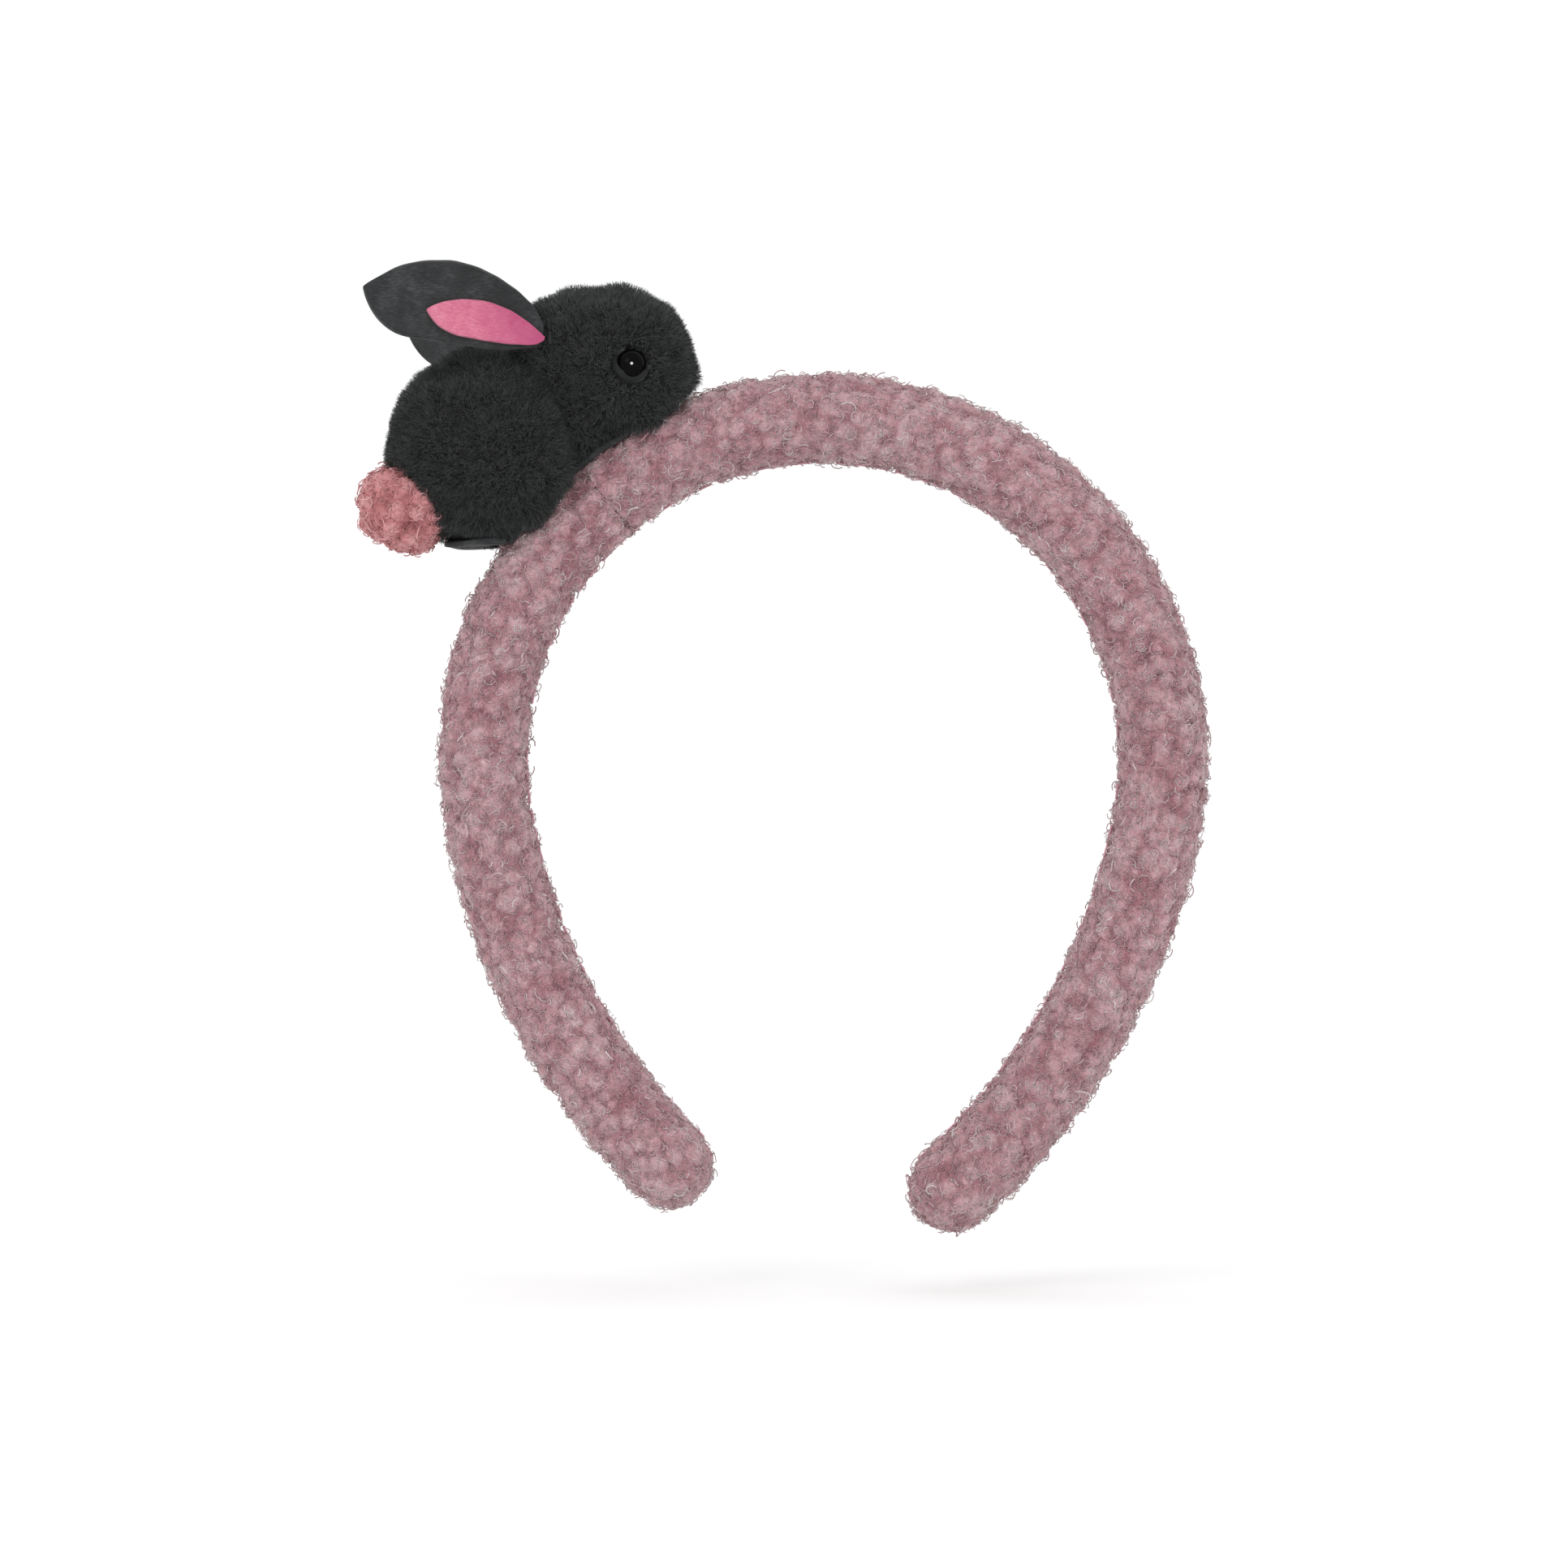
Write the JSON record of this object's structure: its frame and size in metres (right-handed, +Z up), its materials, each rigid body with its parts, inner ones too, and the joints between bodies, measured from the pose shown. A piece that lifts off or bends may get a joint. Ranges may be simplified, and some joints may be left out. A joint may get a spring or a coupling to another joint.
{
  "type": "headband",
  "caption": "Padded fleece alice band that grips the head by its springy inward-curving arms, with a small pompom rabbit with felt ears glued on one shoulder.",
  "frame": {"origin": "middle of the crown's inner face, where the band rests on top of the wearer's head", "axes": "the band lies in the XZ plane, +Z up out of the head, +X towards the arm without the rabbit, which is the way the rabbit faces"},
  "size_m": [0.1698, 0.0623, 0.1945],
  "materials": {
    "fleece": "curly teddy fleece, matte with bright fibre tips",
    "dark_pile": "dense cut pile, velvety",
    "pink_pile": "curly cut pile, matte",
    "dark_felt": "pressed felt, matte",
    "pink_felt": "pressed felt, matte",
    "thread": "polyester thread, matte",
    "dark_thread": "polyester thread, matte",
    "bead": "polished",
    "hoop_plastic": "as moulded",
    "foam": "open-cell foam, matte",
    "glue": "set hot glue, satin"
  },
  "bodies": {
    "crown": {"hoop_crown": "hoop_plastic", "foam_crown": "foam", "cover_crown": "fleece", "seam_crown": "thread", "felt_base": "dark_felt", "felt_foot": "dark_felt", "base_glue": "glue", "body_pompom": "dark_pile", "body_binding": "dark_thread", "head_pompom": "dark_pile", "head_binding": "dark_thread", "tail_pompom": "pink_pile", "tail_binding": "thread", "neck_glue": "glue", "tail_glue": "glue", "eye_right": "bead", "eye_left": "bead", "ear_glue_right": "glue", "ear_glue_left": "glue"},
    "left_arm": {"hoop_left_arm": "hoop_plastic", "foam_left_arm": "foam", "cover_left_arm": "fleece", "seam_left_arm": "thread", "end_stitches_left": "thread"},
    "right_arm": {"hoop_right_arm": "hoop_plastic", "foam_right_arm": "foam", "cover_right_arm": "fleece", "seam_right_arm": "thread", "end_stitches_right": "thread"},
    "right_ear": {"ear_felt_right": "dark_felt", "ear_lining_right": "pink_felt"},
    "left_ear": {"ear_felt_left": "dark_felt", "ear_lining_left": "pink_felt"}
  },
  "joints": [
    {"name": "left_arm_flex", "type": "hinge", "parent": "crown", "child": "left_arm", "pos_m": [-0.0619, 0, -0.03013], "axis": [0, 1, 0], "range_deg": [-5, 12], "stiffness_Nm_per_rad": 1.5},
    {"name": "right_arm_flex", "type": "hinge", "parent": "crown", "child": "right_arm", "pos_m": [0.0619, 0, -0.03013], "axis": [0, -1, 0], "range_deg": [-5, 12], "stiffness_Nm_per_rad": 1.5},
    {"name": "right_ear_flex", "type": "hinge", "parent": "crown", "child": "right_ear", "pos_m": [-0.0554, -0.0117, 0.0245], "axis": [-0.309, 0.9511, 0], "range_deg": [-6, 15], "stiffness_Nm_per_rad": 0.004},
    {"name": "left_ear_flex", "type": "hinge", "parent": "crown", "child": "left_ear", "pos_m": [-0.0554, 0.0117, 0.0245], "axis": [0.6157, 0.788, 0], "range_deg": [-6, 15], "stiffness_Nm_per_rad": 0.004}
  ]
}
